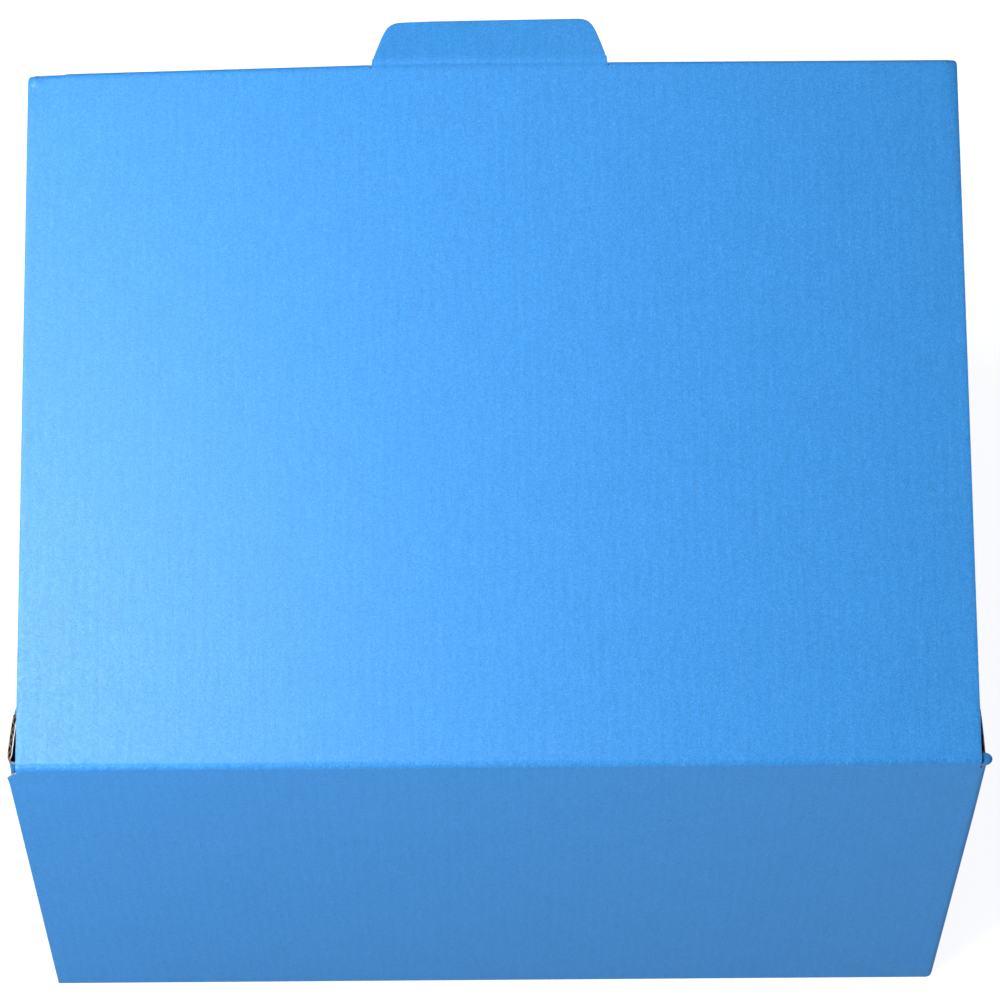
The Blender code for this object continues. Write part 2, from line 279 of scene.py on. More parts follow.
class Shells:
    """Collects closed shells and makes one mesh object of them."""

    def __init__(self):
        self.points, self.sheet, self.wear = [], [], []
        self.faces, self.slots, self.smooth = [], [], []
        self.count = 0

    def add(self, low, high, sheet_low, sheet_high, wear, slots):
        """A closed shell between two grids of points, with slots for its top, underside and edges."""
        n, m = low.shape[:2]
        index = np.arange(n * m).reshape(n, m)
        under = index + self.count
        over = under + n * m

        def quads(a, b, c, d):
            return np.stack([a.ravel(), b.ravel(), c.ravel(), d.ravel()], 1)

        top = quads(over[:-1, :-1], over[1:, :-1], over[1:, 1:], over[:-1, 1:])
        base = quads(under[:-1, :-1], under[:-1, 1:], under[1:, 1:], under[1:, :-1])
        rims = [
            quads(under[:-1, 0], under[1:, 0], over[1:, 0], over[:-1, 0]),
            quads(under[1:, -1], under[:-1, -1], over[:-1, -1], over[1:, -1]),
            quads(under[0, 1:], under[0, :-1], over[0, :-1], over[0, 1:]),
            quads(under[-1, :-1], under[-1, 1:], over[-1, 1:], over[-1, :-1]),
        ]
        rim = np.concatenate(rims)
        faces = np.concatenate([top, base, rim])
        points = np.concatenate([low.reshape(-1, 3), high.reshape(-1, 3)])
        a, b, c, d = (points[faces[:, k] - self.count] for k in range(4))
        volume = np.einsum("ij,ij->", a, np.cross(b, c)) + np.einsum("ij,ij->", a, np.cross(c, d))
        if volume < 0:
            faces = faces[:, ::-1]
        self.points.append(points)
        self.sheet.append(np.concatenate([sheet_low.reshape(-1, 3), sheet_high.reshape(-1, 3)]))
        self.wear.append(np.concatenate([wear.ravel(), wear.ravel()]))
        self.faces.append(faces)
        counts = (len(top), len(base), len(rim))
        self.slots.append(np.repeat(slots, counts))
        self.smooth.append(np.repeat([True, True, False], counts))
        self.count += 2 * n * m

    def finish(self, name):
        points = np.concatenate(self.points)
        faces = np.concatenate(self.faces)
        mesh = bpy.data.meshes.new(name)
        mesh.from_pydata(points.tolist(), [], faces.tolist())
        mesh.polygons.foreach_set("material_index", np.concatenate(self.slots).astype(np.int32))
        mesh.polygons.foreach_set("use_smooth", np.concatenate(self.smooth))
        sheet = mesh.attributes.new("sheet", "FLOAT_VECTOR", "POINT")
        sheet.data.foreach_set("vector", np.concatenate(self.sheet).astype(np.float32).ravel())
        wear = mesh.attributes.new("wear", "FLOAT", "POINT")
        wear.data.foreach_set("value", np.concatenate(self.wear).astype(np.float32))
        for material in MATERIALS:
            mesh.materials.append(material)
        loop_edges = np.empty(len(mesh.loops), np.int32)
        mesh.loops.foreach_get("edge_index", loop_edges)
        sharp = np.zeros(len(mesh.edges), bool)
        sharp[loop_edges.reshape(-1, 4)[~np.concatenate(self.smooth)].ravel()] = True
        mesh.attributes.new("sharp_edge", "BOOLEAN", "EDGE").data.foreach_set("value", sharp)
        mesh.update()
        item = bpy.data.objects.new(name, mesh)
        bpy.context.scene.collection.objects.link(item)
        return item


def board(
    name, place, ends, span, rows, free,
    wear=None, solid_core=False, score=None, pinch=None, columns=(),
):
    """One corrugated board: printed liner, fluted medium and dark inner liner.

    ends are the first and last t, across the flutes. span(t) gives where each column starts and ends
    along the flutes. rows are shares of that. free says which of the ends (first t, last t, start,
    finish) are cut edges. place(t, s, h) sets a point in space. wear(t, s) is 0 to 1, and score(t, s)
    is the share of the thickness lost along a crease. pinch(t, s) is the share lost from the inner side
    only, so that the printed face stays where it is.
    """
    shells = Shells()

    def layer(ts, low, high, slots, relief=0.0):
        start, finish = span(ts)
        finish = np.maximum(finish, start + 1e-4)
        s = start[:, None] + (finish - start)[:, None] * rows[None, :]
        t = np.broadcast_to(ts[:, None], s.shape)
        distance = np.full(s.shape, 1.0)
        for is_free, gap in zip(free, (t - ts[0], ts[-1] - t, s - start[:, None], finish[:, None] - s)):
            if is_free:
                distance = np.minimum(distance, gap)
        squeeze = 1 - CRUSH * np.clip(1 - distance / CRUSH_REACH, 0, 1) ** 2
        if score is not None:
            squeeze = squeeze * (1 - score(t, s))
        print_through = relief * np.sin(2 * np.pi * t / FLUTE) * ramp(distance, 0, CRUSH_REACH)
        low_h = np.broadcast_to(low[:, None], s.shape) * squeeze
        high_h = np.broadcast_to(high[:, None], s.shape) * squeeze + print_through
        if pinch is not None:
            kept = 1 - pinch(t, s)
            low_h, high_h = HALF - (HALF - low_h) * kept, HALF - (HALF - high_h) * kept
        worn = EDGE_WEAR * np.clip(1 - distance / EDGE_WEAR_REACH, 0, 1)
        if wear is not None:
            worn = np.maximum(worn, wear(t, s))
        shells.add(
            place(t, s, low_h), place(t, s, high_h),
            np.stack([t, s, low_h], -1), np.stack([t, s, high_h], -1), worn, slots,
        )

    liner_t = spaced(*ends, FLUTE / LINER_STEPS, columns)
    flat = np.ones(len(liner_t))
    layer(liner_t, flat * (HALF - LINER), flat * HALF, (PRINT, KRAFT, EDGE), WASHBOARD)
    layer(liner_t, flat * -HALF, flat * (LINER - HALF), (KRAFT, DARK, EDGE))
    if solid_core:
        layer(liner_t, flat * (LINER - HALF), flat * (HALF - LINER), (KRAFT, KRAFT, KRAFT))
    else:
        medium_t = spaced(*ends, FLUTE / MEDIUM_STEPS, columns)
        height = HALF - LINER - MEDIUM / 2
        turn = 2 * np.pi * medium_t / FLUTE
        slope = height * 2 * np.pi / FLUTE * np.cos(turn)
        thick = MEDIUM / 2 * np.sqrt(1 + slope ** 2)
        wave = height * np.sin(turn)
        layer(medium_t, wave - thick, wave + thick, (KRAFT, KRAFT, KRAFT))
    return shells.finish(name)


# Materials

def new_material(name):
    material = bpy.data.materials.new(name)
    material.use_nodes = True
    tree = material.node_tree
    return material, tree, tree.nodes["Principled BSDF"]


def add_node(tree, kind, settings=None, inputs=None):
    """A node with its settings, and its inputs set to values or linked to sockets."""
    node = tree.nodes.new(kind)
    for key, value in (settings or {}).items():
        setattr(node, key, value)
    for key, value in (inputs or {}).items():
        if isinstance(value, bpy.types.NodeSocket):
            tree.links.new(value, node.inputs[key])
        else:
            node.inputs[key].default_value = value
    return node


def maths(tree, operation, a, b=0.0, c=0.0):
    return add_node(tree, "ShaderNodeMath", {"operation": operation}, {0: a, 1: b, 2: c}).outputs[0]


def noise(tree, vector, scale, detail=2.0, stretch=None, roughness=0.55):
    """Noise over the sheet's own coordinates; stretch scales them first."""
    if stretch:
        vector = add_node(
            tree, "ShaderNodeVectorMath", {"operation": "MULTIPLY"}, {0: vector, 1: stretch}
        ).outputs[0]
    node = add_node(
        tree, "ShaderNodeTexNoise", None,
        {"Vector": vector, "Scale": scale, "Detail": detail, "Roughness": roughness},
    )
    return node.outputs["Fac"]


def mapped(tree, value, from_low, from_high, to_low, to_high):
    return add_node(
        tree, "ShaderNodeMapRange", None,
        {"Value": value, "From Min": from_low, "From Max": from_high, "To Min": to_low, "To Max": to_high},
    ).outputs[0]


def mixed(tree, share, first, second, mode="MIX"):
    node = add_node(tree, "ShaderNodeMix", {"data_type": "RGBA", "blend_type": mode})
    for key, value in ((0, share), (6, first), (7, second)):
        if isinstance(value, bpy.types.NodeSocket):
            tree.links.new(value, node.inputs[key])
        else:
            node.inputs[key].default_value = value
    return node.outputs[2]


def shade(tree, colour, factor):
    """Multiplies a colour by a grey factor."""
    grey = add_node(tree, "ShaderNodeCombineColor", None, {0: factor, 1: factor, 2: factor}).outputs[0]
    return mixed(tree, 1.0, colour, grey, "MULTIPLY")


MOTTLE_SCALE = 2900          # noise cells per metre
CLOUD_SCALE = 55
GRAIN_SCALE = 900
FIBRE_STRETCH = (1500, 110, 1500)
FLECK_STRETCH = (2300, 1400, 2300)
BUMP_HEIGHT = 0.00006


def paper(
    name, base, deep, fleck, roughness, fleck_share, bump,
    streaks=0.03, print_stripes=0.0, wear_colour=None,
):
    """Paper: mottled colour, fibres along the sheet, small flecks, and wear where the mesh says so."""
    material, tree, shader = new_material(name)
    sheet = add_node(tree, "ShaderNodeAttribute", {"attribute_name": "sheet"}).outputs["Vector"]
    fine = noise(tree, sheet, MOTTLE_SCALE, 3.0)
    cloud = noise(tree, sheet, CLOUD_SCALE, 2.0)
    fibre = noise(tree, sheet, 1.0, 3.0, FIBRE_STRETCH)
    colour = mixed(tree, mapped(tree, fine, 0.34, 0.66, 0.0, 1.0), (*deep, 1), (*base, 1))
    clouds = mapped(tree, cloud, 0.3, 0.7, 0.985, 1.015)
    fibres = mapped(tree, fibre, 0.3, 0.7, -streaks, streaks)
    total = maths(tree, "ADD", clouds, fibres)
    if print_stripes:
        across = add_node(tree, "ShaderNodeSeparateXYZ", None, {0: sheet}).outputs[0]
        stripe = maths(tree, "SINE", maths(tree, "MULTIPLY", across, 2 * math.pi / FLUTE))
        total = maths(tree, "MULTIPLY_ADD", stripe, print_stripes, total)
    colour = shade(tree, colour, total)
    fleck_noise = noise(tree, sheet, 1.0, 1.5, FLECK_STRETCH)
    flecks = mapped(tree, fleck_noise, 0.64, 0.74, 0.0, fleck_share)
    colour = mixed(tree, flecks, colour, (*fleck, 1))
    grain = noise(tree, sheet, GRAIN_SCALE, 4.0)
    if wear_colour:
        worn = add_node(tree, "ShaderNodeAttribute", {"attribute_name": "wear"}).outputs["Fac"]
        grainy = maths(tree, "ADD", worn, maths(tree, "MULTIPLY", grain, 0.9))
        broken = mapped(tree, grainy, 0.72, 1.05, 0.0, 0.8)
        near_edge = maths(tree, "MINIMUM", maths(tree, "MULTIPLY", worn, 4.0), 1.0)
        share = maths(tree, "MULTIPLY", broken, near_edge)
        colour = mixed(tree, share, colour, (*wear_colour, 1))
    tree.links.new(colour, shader.inputs["Base Color"])
    uneven = mapped(tree, grain, 0.3, 0.7, roughness - 0.06, roughness + 0.08)
    tree.links.new(uneven, shader.inputs["Roughness"])
    shader.inputs["Specular IOR Level"].default_value = 0.42
    relief = maths(tree, "ADD", fine, maths(tree, "MULTIPLY", fibre, 0.8))
    bumped = add_node(
        tree, "ShaderNodeBump", None, {"Height": relief, "Strength": bump, "Distance": BUMP_HEIGHT},
    )
    tree.links.new(bumped.outputs[0], shader.inputs["Normal"])
    return material


MATERIALS = [
    paper(
        "printed_blue_liner", (0.055, 0.34, 0.83), (0.018, 0.23, 0.65), (0.20, 0.50, 0.92), 0.40, 0.40,
        0.45, streaks=0.050, print_stripes=0.012, wear_colour=(0.62, 0.74, 0.90),
    ),
    paper("white_paper_edge", (0.74, 0.71, 0.69), (0.55, 0.51, 0.49), (0.85, 0.83, 0.80), 0.85, 0.5, 0.5),
    paper("kraft_medium", (0.33, 0.26, 0.21), (0.20, 0.155, 0.125), (0.50, 0.43, 0.36), 0.90, 0.6, 0.7),
    paper(
        "dark_inner_liner",
        (0.052, 0.066, 0.104), (0.036, 0.046, 0.074), (0.12, 0.14, 0.19), 0.72, 0.35, 0.5,
    ),
]


def finish_piece(item, body, node=None):
    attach(item, body)
    if node:
        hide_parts(node)
    return item


def finish_crease(item, warp):
    """Bakes the strip's transform into its mesh, then moves its points with warp so that it settles as its
    neighbours.
    """
    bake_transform(item)
    points = np.empty(len(item.data.vertices) * 3, np.float32)
    item.data.vertices.foreach_get("co", points)
    points = warp(points.astype(float).reshape(-1, 3))
    item.data.vertices.foreach_set("co", points.astype(np.float32).ravel())
    item.data.update()
    return item


def even_rows(count):
    return np.linspace(0, 1, count)


def constant_span(low, high):
    return lambda t: (np.full(len(t), low), np.full(len(t), high))


# Lid

# Dents of the lid at its far left corner. Places are across the lid, and back from its far fold.
LUMP_HEIGHT = 0.00034
LUMP_PLACE = (-0.1302, 0.0016)
LUMP_SIZE = (0.0012, 0.0016)
GROOVE_DEPTH = 0.00026
GROOVE_PLACE = (-0.1276, 0.0012)
GROOVE_SIZE = (0.0006, 0.0022)
GROOVE_SLANT = 0.35
DROOP = 0.0006               # how far the far left corner hangs
DROOP_START = (0.1220, 0.086)
CURL = 0.0005                # how far the right edge turns down
CURL_WIDTH = 0.0035
CURL_START_Y = 0.050


def lid_shape(points):
    """Small dents of the lid at its far left corner, and its edges curling down at the far right."""
    x, y = points[..., 0], points[..., 1]
    from_fold = TUCK_Y - y
    lump_across = (x - LUMP_PLACE[0]) / LUMP_SIZE[0]
    lump_back = (from_fold - LUMP_PLACE[1]) / LUMP_SIZE[1]
    lump = LUMP_HEIGHT * np.exp(-lump_across ** 2 - lump_back ** 2)
    groove_across = (x - GROOVE_PLACE[0] - GROOVE_SLANT * from_fold) / GROOVE_SIZE[0]
    groove_back = (from_fold - GROOVE_PLACE[1]) / GROOVE_SIZE[1]
    groove = -GROOVE_DEPTH * np.exp(-groove_across ** 2 - groove_back ** 2)
    droop = -DROOP * ramp(-x, DROOP_START[0], LID_HALF) ** 2 * ease(y, DROOP_START[1], TUCK_Y)
    curl = -CURL * ramp(x, LID_HALF - CURL_WIDTH, LID_HALF) ** 2 * ease(y, CURL_START_Y, TUCK_Y)
    points[..., 2] += lump + groove + droop + curl
    return rack(points)


def on_lid(place):
    return lambda t, s, h: lid_shape(place(t, s, h))


def on_tube(place, kind):
    return lambda t, s, h: settle(place(t, s, h), kind)


def crease_wear(length, amount):
    """Wear that is strongest along the middle of a crease strip."""
    def wear(t, s):
        return amount * np.exp(-((s - length / 2) / CREASE_WEAR_WIDTH) ** 2)

    return wear


def crease_score(length, amount=SCORE):
    def score(t, s):
        return amount * np.exp(-((s - length / 2) / SCORE_WIDTH) ** 2)

    return score


lid_start = HINGE_Y + CREASE_HALF
lid_end = TUCK_Y - CREASE_HALF
lid_rows = np.unique(np.concatenate([
    even_rows(15),
    1 - np.array([0.0, 0.0007, 0.0014, 0.0022, 0.0031, 0.0042, 0.006, 0.009]) / (lid_end - lid_start),
]))
flat_lid = in_space((0, 0, LID_Z), (1, 0, 0), (0, 1, 0), (0, 0, 1))
lid = board(
    "lid_panel_board", on_lid(flat_lid), (-LID_HALF, LID_HALF), constant_span(lid_start, lid_end),
    lid_rows, (True, True, False, False),
)
finish_piece(lid, "lid", "lid_panel")

# Hinge wall and the crease that the lid turns on

CUT_LOW = 0.0075             # the corner cut's two ends, under the lid's outer face
CUT_HIGH = 0.0033
WALL_PINCH = 0.80            # share of the thickness lost where the corner is cut off
PINCH_X = (0.0022, 0.0052)   # from the wall's raw edge, fading out between these
PINCH_DEPTH = (0.014, 0.008) # under the lid's outer face, growing between these
hinge_strip_z = LID_Z - CREASE_HALF
arc_start = SIDE_X - CORNER_RADIUS
cut_slope = (CUT_LOW - CUT_HIGH) / (SIDE_X - LID_HALF - TUBE_SHIFT)


def wall_top(t):
    """Top of the hinge wall: up to the crease strip, cut off at the raw left edge."""
    cut = LID_HIGH.z - CUT_LOW + (t + SIDE_X) * cut_slope
    return np.where(t < 0, np.minimum(hinge_strip_z, cut), hinge_strip_z)


def wall_pinch(t, s):
    """The wall is pressed thin where its left corner is cut off."""
    near_edge = 1 - ease(t + SIDE_X, *PINCH_X)
    return WALL_PINCH * near_edge * ease(s, *(LID_HIGH.z - depth for depth in PINCH_DEPTH))


hinge = board(
    "hinge_wall_board",
    on_tube(in_space((0, Y_BACK + HALF, 0), (1, 0, 0), (0, 0, 1), (0, -1, 0)), "hinge"),
    (-SIDE_X, arc_start), lambda t: (np.zeros(len(t)), wall_top(t)),
    np.union1d(row_shares(hinge_strip_z, 12), 1 - np.linspace(0, 0.012, 9) / hinge_strip_z),
    (True, False, True, False), pinch=wall_pinch, columns=-SIDE_X + np.linspace(0.0003, 0.0054, 18),
)
finish_piece(hinge, "carton_tube", "hinge_wall")

QUARTER = math.pi / 2
hinge_length = fold_length(QUARTER)


def hinge_strip_warp(points):
    """The strip leaves the wall with the tube's shift and reaches the lid without it."""
    risen = points[:, 2] - hinge_strip_z + points[:, 1] - Y_BACK
    on_wall = 1 - ease(risen / (2 * CREASE_HALF + BOARD), 0.3, 0.8)
    past_end = ramp(points[:, 0] + LID_HALF, 0, 0.001)
    points[:, 0] += tube_shift(points[:, 0], points[:, 2]) * on_wall * past_end
    return rack(points)


hinge_crease = board(
    "lid_crease_skin", fold_place((0, HINGE_Y, LID_Z), (1, 0, 0), (0, 0, 1), (0, -1, 0), QUARTER),
    (-LID_HALF, LID_HALF), constant_span(0.0, hinge_length), even_rows(17),
    (True, True, False, False), wear=crease_wear(hinge_length, 0.20), solid_core=True,
    score=crease_score(hinge_length, 0.02),
)
finish_crease(
    hinge_crease,
    hinge_strip_warp,
)

# Side walls with the tube's vertical folds

MID_CORNER = CORNER_RADIUS - HALF
dust_strip_z = DUST_Z - CREASE_HALF
GLUE_TAIL = 0.0012           # flat stretch of the left wall's end, behind the hinge wall
PRESSED = 0.68               # share of the thickness lost where that end is pressed
PRESSED_DEPTH = (0.014, 0.006)   # under the blank's top, growing between these
PRESSED_FADE = 0.0014
ear_end_y = DUST_LOW.y + EAR_END
for side, word in ((-1, "left"), (1, "right")):
    back = GLUE_LOW.y if side < 0 else Y_BACK
    tail = GLUE_TAIL if side < 0 else 0.0
    straight = (Y_FRONT - CORNER_RADIUS) - (back + CORNER_RADIUS)
    legs = [(QUARTER, MID_CORNER), (straight, 0), (QUARTER, MID_CORNER)]
    if tail:
        legs = [(tail, 0)] + legs
    length = tail + 2 * QUARTER * MID_CORNER + straight
    start_x = side * (SIDE_X - CORNER_RADIUS - tail)
    corner_flat = in_space((start_x, back + HALF, 0), (side, 0, 0), (0, -1, 0), (0, 0, 1))
    ear_stop = tail + QUARTER * MID_CORNER + ear_end_y - (back + CORNER_RADIUS)
    front_start = tail + QUARTER * MID_CORNER + straight

    def side_place(t, s, h, legs=legs, flat=corner_flat):
        u, v = track(t, h, legs)
        return flat(u, v, s)

    def side_span(t, ear_stop=ear_stop, front_start=front_start, ear_top=EAR_TOP - EAR_DROP[side]):
        top = np.where(t <= ear_stop, ear_top, dust_strip_z)
        return np.zeros(len(t)), np.where(t >= front_start - 1e-6, FRONT_TOP, top)

    def pressed(t, s, reach=tail + QUARTER * MID_CORNER + 0.001, side=side):
        """The left ear's wrapped end is pressed thin."""
        wrapped = 1 - ease(t, reach - PRESSED_FADE, reach)
        near_top = ease(s, *(EAR_TOP - depth for depth in PRESSED_DEPTH))
        return PRESSED * (side < 0) * wrapped * near_top

    fine_columns = [tail + QUARTER * MID_CORNER * k / 6 for k in range(7)]
    fine_columns += [front_start + QUARTER * MID_CORNER * k / 6 for k in range(7)]
    fine_columns += [ear_stop, ear_stop + 6e-5, front_start - 6e-5]
    rows = 1 - np.unique(np.concatenate([
        np.linspace(0, 1, 9), np.linspace(0, LEAN_HEIGHT, 12)[1:] / EAR_TOP,
        np.array([0.0002, 0.0005, 0.0009, 0.0014, 0.002, 0.003, 0.0045]) / EAR_TOP,
        1 - np.array([0.0002, 0.0005, 0.0009]) / EAR_TOP,
    ]))[::-1]
    wall = board(
        word + "_wall_board", on_tube(side_place, "side"), (0.0, length), side_span, rows,
        (side < 0, False, True, True), score=pressed, columns=fine_columns,
    )
    finish_piece(wall, "carton_tube", word + "_wall")

# The knot of paper at the right end of the lid's crease

NUB_CENTRE = np.array((0.1324, Y_BACK + 0.0020, 0.2193))
NUB_RADII = np.array((0.0027, 0.0019, 0.0016))
NUB_RIM = 0.08               # half height of its rim as a share of the nub's
span_share = np.linspace(-1, 1, 17)
nub_u, nub_v = np.meshgrid(span_share, span_share, indexing="ij")
disc_u = nub_u * np.sqrt(1 - nub_v ** 2 / 2)
disc_v = nub_v * np.sqrt(1 - nub_u ** 2 / 2)
dome = NUB_RIM + (1 - NUB_RIM) * np.sqrt(np.clip(1 - disc_u ** 2 - disc_v ** 2, 0, 1))
nub_low, nub_high = (
    NUB_CENTRE + np.stack([disc_u, disc_v, sign * dome], -1) * NUB_RADII for sign in (-1, 1)
)
nub_shell = Shells()
nub_shell.add(nub_low, nub_high, nub_low, nub_high, np.full(nub_u.shape, 0.1), (PRINT, PRINT, PRINT))
finish_piece(nub_shell.finish("crease_end_knot"), "carton_tube")

# Front wall

front = board(
    "front_wall_board",
    on_tube(in_space((0, Y_FRONT - HALF, 0), (1, 0, 0), (0, 0, 1), (0, 1, 0)), "front"),
    (-arc_start, arc_start), constant_span(0.0, FRONT_TOP), row_shares(FRONT_TOP, 22),
    (False, False, True, True),
)
finish_piece(front, "carton_tube", "front_wall")

# Glue flap, behind the hinge wall

glue_span, glue_ends = cad_span("glue_flap", (0, 0, 0), (1, 0, 0), (0, 0, 1))
glue = board(
    "glue_flap_board",
    on_tube(in_space((0, GLUE_LOW.y + HALF, 0), (1, 0, 0), (0, 0, 1), (0, -1, 0)), "hinge"),
    (-SIDE_X + CORNER_RADIUS + GLUE_TAIL, glue_ends[1]), glue_span, row_shares(0.19, 6),
    (False, True, True, True),
)
finish_piece(glue, "carton_tube", "glue_flap")

# Tuck flap and pull tab, with the creases they turn on

TUCK_LEAN = math.radians(10)
tuck_down = Vector((0, -math.sin(TUCK_LEAN), -math.cos(TUCK_LEAN)))
tuck_out = Vector((0, math.cos(TUCK_LEAN), -math.sin(TUCK_LEAN)))
tuck_origin = Vector((0, TUCK_Y, LID_Z))
tuck_cad, tuck_ends = cad_span("tuck_flap", tuck_origin, (1, 0, 0), tuck_down)


def tuck_span(t):
    low, high = tuck_cad(t)
    notch = low > CREASE_HALF
    return np.where(notch, low, CREASE_HALF), high


tab_middle = (TAB_LOW.x + TAB_HIGH.x) / 2
tab_half = (TAB_HIGH.x - TAB_LOW.x) / 2
CUT = 0.0003                 # width of the slits beside the tab
LID_CORNER = 0.0011          # radius of the lid's far corners
CORNER_SHARE = 0.52          # how much of the crease strip is left at them
tuck = board(
    "tuck_flap_board", on_lid(in_space(tuck_origin, (1, 0, 0), tuck_down, tuck_out)), tuck_ends, tuck_span,
    row_shares(0.031, 7), (True, True, False, True),
    columns=[tab_middle + k * (tab_half + CUT + d) for k in (-1, 1) for d in (-3e-5, 3e-5, 1e-4)],
)
finish_piece(tuck, "tuck", "tuck_flap")

tuck_angle = QUARTER + TUCK_LEAN
tuck_length = fold_length(tuck_angle)
for side, word in ((-1, "left"), (1, "right")):
    inner = tab_middle + side * (tab_half + CUT)
    outer = side * LID_HALF

    def tuck_strip_span(t):
        """Past the tuck flap's side edge the strip stops at the fold, as the lid's corner does."""
        beyond = np.abs(t) > TUCK_HALF
        into_corner = np.clip(np.abs(t) - (LID_HALF - LID_CORNER), 0, LID_CORNER)
        rounding = LID_CORNER - np.sqrt(np.clip(LID_CORNER ** 2 - into_corner ** 2, 0, None))
        return np.zeros(len(t)), np.where(beyond, tuck_length * CORNER_SHARE - rounding, tuck_length)

    strip = board(
        "tuck_crease_" + word,
        fold_place(tuck_origin, (1, 0, 0), (0, 1, 0), (0, 0, 1), tuck_angle),
        (min(inner, outer), max(inner, outer)), tuck_strip_span, even_rows(15), (True, True, False, False),
        wear=crease_wear(tuck_length, 0.16), solid_core=True, score=crease_score(tuck_length, 0.12),
        columns=[side * (TUCK_HALF + d) for d in (0, 6e-5)]
        + [side * (LID_HALF - d) for d in (0.0008, 0.001)],
    )
    finish_crease(
        strip,
        lid_shape,
    )

TAB_DROOP = (math.radians(18.0), math.radians(12.5))   # at the tab's left and right sides
TAB_SPREAD = 0.040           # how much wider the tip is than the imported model's
TAB_SPREAD_END = 0.011       # all of it is reached this far out
SLIT_START = 0.0013          # the slits beside the tab start this far into the crease strip
tab_cad, tab_ends = cad_span("pull_tab", (0, TUCK_Y, 0), (1, 0, 0), (0, 1, 0))
scan = np.linspace(*tab_ends, 400)
beyond_strip = scan[tab_cad(scan)[1] > CREASE_HALF + 1e-4]


def tab_shape(points):
    """The tab hangs down a little from its crease, more at its left."""
    x, y, z = (points[..., axis].copy() for axis in range(3))
    share = ramp(x, tab_middle - tab_half, tab_middle + tab_half)
    angle = TAB_DROOP[0] + (TAB_DROOP[1] - TAB_DROOP[0]) * share
    past = y - TUCK_Y
    slope = ramp(past, -CREASE_HALF, CREASE_HALF)
    run = np.where(past > CREASE_HALF, past, CREASE_HALF * slope ** 2)
    wider = 1 + TAB_SPREAD * ramp(past, CREASE_HALF, TAB_SPREAD_END)
    points[..., 0] = tab_middle + (x - tab_middle) * wider
    points[..., 1] = y - run * (1 - np.cos(angle)) + slope * np.sin(angle) * (z - LID_Z)
    points[..., 2] = z - run * np.sin(angle)
    return lid_shape(points)


def tab_strip_span(t):
    """The strip narrows with the tab, and its two ends close the slits beside it."""
    reached = tab_cad(t)[1] + CREASE_HALF
    inside = np.abs(t - tab_middle) <= tab_half + 1e-9
    return np.zeros(len(t)), np.where(inside, np.clip(reached, SLIT_START, 2 * CREASE_HALF), SLIT_START)


flat_tab = in_space((0, TUCK_Y, LID_Z), (1, 0, 0), (0, 1, 0), (0, 0, 1))
tab = board(
    "pull_tab_board", lambda t, s, h: tab_shape(flat_tab(t, s, h)), (beyond_strip[0], beyond_strip[-1]),
    lambda t: (np.full(len(t), CREASE_HALF), np.maximum(tab_cad(t)[1], CREASE_HALF + 1e-4)),
    row_shares(0.013, 8), (True, True, False, True),
)
finish_piece(tab, "tab", "pull_tab")

tab_strip = board(
    "tab_crease_skin", fold_place((0, TUCK_Y, LID_Z), (1, 0, 0), (0, 1, 0), (0, 0, 1), 0.0),
    (tab_middle - tab_half - CUT, tab_middle + tab_half + CUT), tab_strip_span, even_rows(15),
    (False, False, False, False), solid_core=True, score=crease_score(2 * CREASE_HALF, 0.28),
    columns=[tab_middle + k * (tab_half + d) for k in (-1, 1) for d in (0, 4e-5)]
    + list(beyond_strip[[0, -1]]),
)
finish_crease(
    tab_strip,
    tab_shape,
)

# Dust flaps

DUST_ROOT = 0.0018           # gap from the crease's axis to the flap's cut root, beside the ear
DUST_ROOT_GROWTH = 0.0006
DUST_ROOT_RUN = 0.004

for side, word in ((-1, "left"), (1, "right")):
    node = "dust_flap_" + word
    crease_x = SIDE_X - HALF
    dust_cad, dust_ends = cad_span(node, (side * (crease_x - SIDE_LEAN), 0, 0), (0, 1, 0), (-side, 0, 0))

    def dust_span(t, cad=dust_cad):
        cut = DUST_ROOT + DUST_ROOT_GROWTH * ramp(t, ear_end_y - DUST_ROOT_RUN, ear_end_y)
        root = np.where(t < ear_end_y, cut, CREASE_HALF)
        return root, np.maximum(cad(t)[1], root + 2e-4)

    flap = board(
        node + "_board",
        on_tube(in_space((side * crease_x, 0, DUST_Z), (0, 1, 0), (-side, 0, 0), (0, 0, 1)), "side"),
        dust_ends, dust_span, row_shares(0.09, 10), (True, True, False, True),
        columns=(ear_end_y - 6e-5, ear_end_y),
    )
    finish_piece(flap, word + "_dust", node)
    strip_length = fold_length(QUARTER)
    strip = board(
        word + "_dust_crease",
        fold_place((side * crease_x, 0, DUST_Z), (0, 1, 0), (0, 0, 1), (side, 0, 0), QUARTER),
        (ear_end_y, dust_ends[1]), constant_span(0.0, strip_length), even_rows(13),
        (True, True, False, False),
        wear=crease_wear(strip_length, 0.25), solid_core=True, score=crease_score(strip_length),
    )
    finish_crease(
        strip,
        lambda points: settle(points, "side"),
    )

# Bottom flaps

for name in (
    "bottom_side_flap_left", "bottom_side_flap_right",
    "bottom_glue_corner_left", "bottom_glue_corner_right",
):
    low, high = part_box(name)
    span, ends = cad_span(name, (0, 0, 0), (0, 1, 0), (1, 0, 0))
    piece = board(
        name + "_board", on_tube(in_space((0, 0, low.z + HALF), (0, 1, 0), (1, 0, 0), (0, 0, -1)), "floor"),
        ends, span, row_shares(0.08, 3), (True, True, True, True),
    )
    finish_piece(piece, "carton_tube", name)
for name in ("bottom_main_flap_rear", "bottom_main_flap_front"):
    low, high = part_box(name)
    span, ends = cad_span(name, (0, 0, 0), (1, 0, 0), (0, 1, 0))
    piece = board(
        name + "_board", on_tube(in_space((0, 0, low.z + HALF), (1, 0, 0), (0, 1, 0), (0, 0, -1)), "floor"),
        ends, span, row_shares(0.1, 3), (True, True, True, True),
    )
    finish_piece(piece, "carton_tube", name)

# Floor, light and camera

